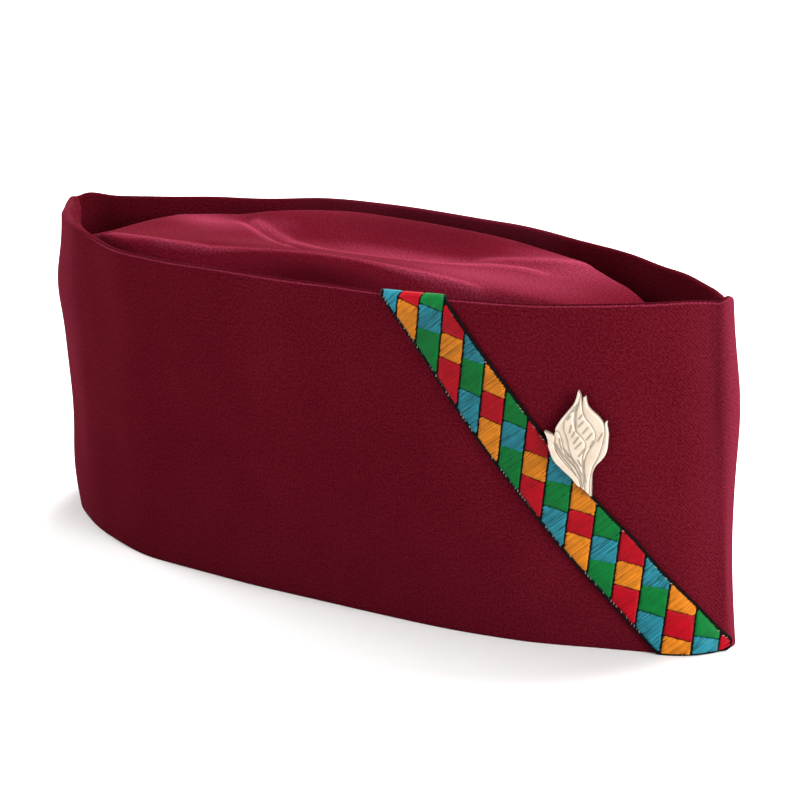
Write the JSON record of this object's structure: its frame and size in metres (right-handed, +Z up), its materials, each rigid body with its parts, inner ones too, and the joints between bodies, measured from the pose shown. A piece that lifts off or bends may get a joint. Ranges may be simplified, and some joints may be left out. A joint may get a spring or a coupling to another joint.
{
  "type": "pahadi cap",
  "caption": "Cloth cap with a tall boat-shaped band, a soft crown sunk inside its rim, a slanting patchwork ribbon on one side and a flower-bud badge pinned on the ribbon.",
  "frame": {"origin": "on the ground, under the middle of the cap's outline", "axes": "+X towards the front crease along the cap's length, -Y towards the side with the ribbon, +Z up"},
  "size_m": [0.2694, 0.0934, 0.1008],
  "materials": {
    "band_cloth": "maroon twill, matt",
    "crown_cloth": "maroon twill, matt",
    "ribbon_weave": "satin threads in coloured patches",
    "badge_metal": "pale pressed metal, satin",
    "pin_steel": "plain"
  },
  "bodies": {
    "root": {"band": "band_cloth", "crown": "crown_cloth", "ribbon": "ribbon_weave", "flower_badge": "badge_metal", "badge_pin": "pin_steel"}
  },
  "joints": []
}
